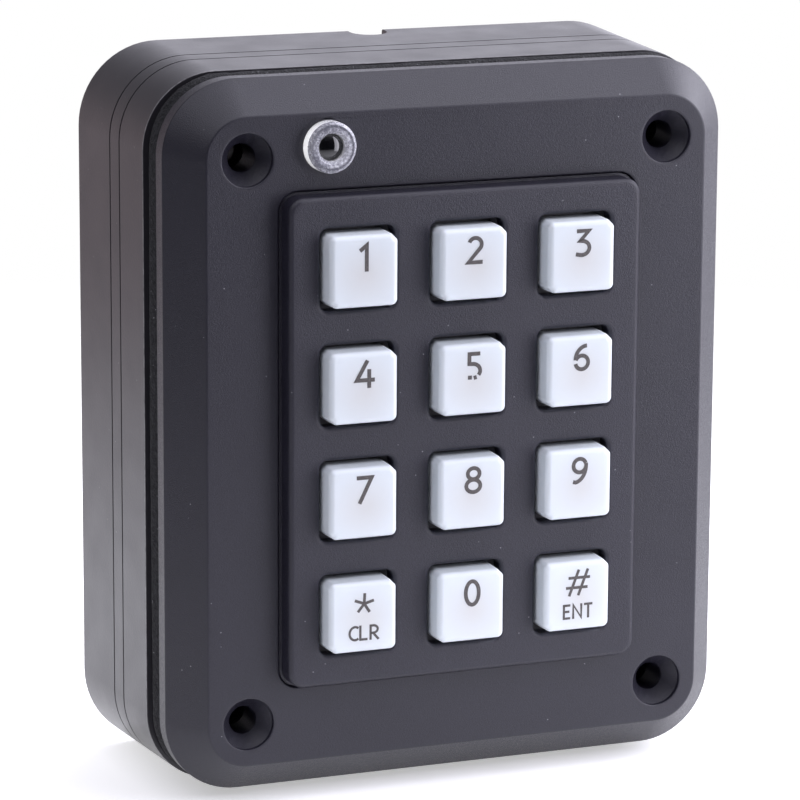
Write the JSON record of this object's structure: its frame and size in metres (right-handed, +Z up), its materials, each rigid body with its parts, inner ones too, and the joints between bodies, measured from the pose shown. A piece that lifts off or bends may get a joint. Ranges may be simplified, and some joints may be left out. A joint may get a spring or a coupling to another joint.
{
  "type": "keypad access reader",
  "caption": "Wall-mounted access keypad: raised bezel with translucent push keys in a chamfered dark cover, status light ring, foam gasket and deep rear housing.",
  "frame": {"origin": "centre of the flat rear face that lies on the wall", "axes": "+Z up, +X to the right as seen from the front, front towards -Y, wall on the +Y side"},
  "size_m": [0.1024, 0.0491, 0.1212],
  "materials": {
    "satin_housing": "satin",
    "foam": "foam",
    "textured_cover": "fine spark texture",
    "textured_bezel": "fine spark texture",
    "clear_plastic": "frosted",
    "black_lens": "gloss",
    "silicone": "translucent",
    "circuit_board": "solder mask",
    "gold": "plated",
    "led_body": "phosphor",
    "screw_steel": "zinc plated",
    "brass": "turned",
    "connector_black": "moulded",
    "terminal_green": "moulded",
    "relay_blue": "moulded",
    "buzzer_black": "moulded",
    "chip_black": "epoxy",
    "capacitor_sleeve": "sleeve",
    "copper_wire": "enamelled",
    "keycap": "translucent satin",
    "carbon_pill": "carbon filled"
  },
  "bodies": {
    "root": {"rear_housing": "satin_housing", "gasket": "foam", "front_cover": "textured_cover", "keypad_bezel": "textured_bezel", "light_ring": "clear_plastic", "light_sensor": "black_lens", "keymat": "silicone", "keypad_pcb": "circuit_board", "contact_pads": "gold", "backlight_leds": "led_body", "indicator_leds": "led_body", "keypad_screws": "screw_steel", "board_standoffs": "brass", "controller_pcb": "circuit_board", "standoff_screws": "screw_steel", "board_connector": "connector_black", "terminal_block": "terminal_green", "terminal_screws": "screw_steel", "relay": "relay_blue", "buzzer": "buzzer_black", "microcontroller": "chip_black", "reader_chip": "chip_black", "capacitors": "capacitor_sleeve", "antenna_coil": "copper_wire"},
    "button_1": {"key_1": "keycap", "contact_pill_1": "carbon_pill"},
    "button_2": {"key_2": "keycap", "contact_pill_2": "carbon_pill"},
    "button_3": {"key_3": "keycap", "contact_pill_3": "carbon_pill"},
    "button_4": {"key_4": "keycap", "contact_pill_4": "carbon_pill"},
    "button_5": {"key_5": "keycap", "contact_pill_5": "carbon_pill"},
    "button_6": {"key_6": "keycap", "contact_pill_6": "carbon_pill"},
    "button_7": {"key_7": "keycap", "contact_pill_7": "carbon_pill"},
    "button_8": {"key_8": "keycap", "contact_pill_8": "carbon_pill"},
    "button_9": {"key_9": "keycap", "contact_pill_9": "carbon_pill"},
    "button_star": {"key_star": "keycap", "contact_pill_star": "carbon_pill"},
    "button_0": {"key_0": "keycap", "contact_pill_0": "carbon_pill"},
    "button_hash": {"key_hash": "keycap", "contact_pill_hash": "carbon_pill"}
  },
  "joints": [
    {"name": "press_1", "type": "slide", "parent": "root", "child": "button_1", "axis": [0, 1, 0], "range_m": [0, 0.0011], "stiffness_N_per_m": 700, "springref_m": -0.0008, "deforming": ["keymat"]},
    {"name": "press_2", "type": "slide", "parent": "root", "child": "button_2", "axis": [0, 1, 0], "range_m": [0, 0.0011], "stiffness_N_per_m": 700, "springref_m": -0.0008, "deforming": ["keymat"]},
    {"name": "press_3", "type": "slide", "parent": "root", "child": "button_3", "axis": [0, 1, 0], "range_m": [0, 0.0011], "stiffness_N_per_m": 700, "springref_m": -0.0008, "deforming": ["keymat"]},
    {"name": "press_4", "type": "slide", "parent": "root", "child": "button_4", "axis": [0, 1, 0], "range_m": [0, 0.0011], "stiffness_N_per_m": 700, "springref_m": -0.0008, "deforming": ["keymat"]},
    {"name": "press_5", "type": "slide", "parent": "root", "child": "button_5", "axis": [0, 1, 0], "range_m": [0, 0.0011], "stiffness_N_per_m": 700, "springref_m": -0.0008, "deforming": ["keymat"]},
    {"name": "press_6", "type": "slide", "parent": "root", "child": "button_6", "axis": [0, 1, 0], "range_m": [0, 0.0011], "stiffness_N_per_m": 700, "springref_m": -0.0008, "deforming": ["keymat"]},
    {"name": "press_7", "type": "slide", "parent": "root", "child": "button_7", "axis": [0, 1, 0], "range_m": [0, 0.0011], "stiffness_N_per_m": 700, "springref_m": -0.0008, "deforming": ["keymat"]},
    {"name": "press_8", "type": "slide", "parent": "root", "child": "button_8", "axis": [0, 1, 0], "range_m": [0, 0.0011], "stiffness_N_per_m": 700, "springref_m": -0.0008, "deforming": ["keymat"]},
    {"name": "press_9", "type": "slide", "parent": "root", "child": "button_9", "axis": [0, 1, 0], "range_m": [0, 0.0011], "stiffness_N_per_m": 700, "springref_m": -0.0008, "deforming": ["keymat"]},
    {"name": "press_star", "type": "slide", "parent": "root", "child": "button_star", "axis": [0, 1, 0], "range_m": [0, 0.0011], "stiffness_N_per_m": 700, "springref_m": -0.0008, "deforming": ["keymat"]},
    {"name": "press_0", "type": "slide", "parent": "root", "child": "button_0", "axis": [0, 1, 0], "range_m": [0, 0.0011], "stiffness_N_per_m": 700, "springref_m": -0.0008, "deforming": ["keymat"]},
    {"name": "press_hash", "type": "slide", "parent": "root", "child": "button_hash", "axis": [0, 1, 0], "range_m": [0, 0.0011], "stiffness_N_per_m": 700, "springref_m": -0.0008, "deforming": ["keymat"]}
  ]
}
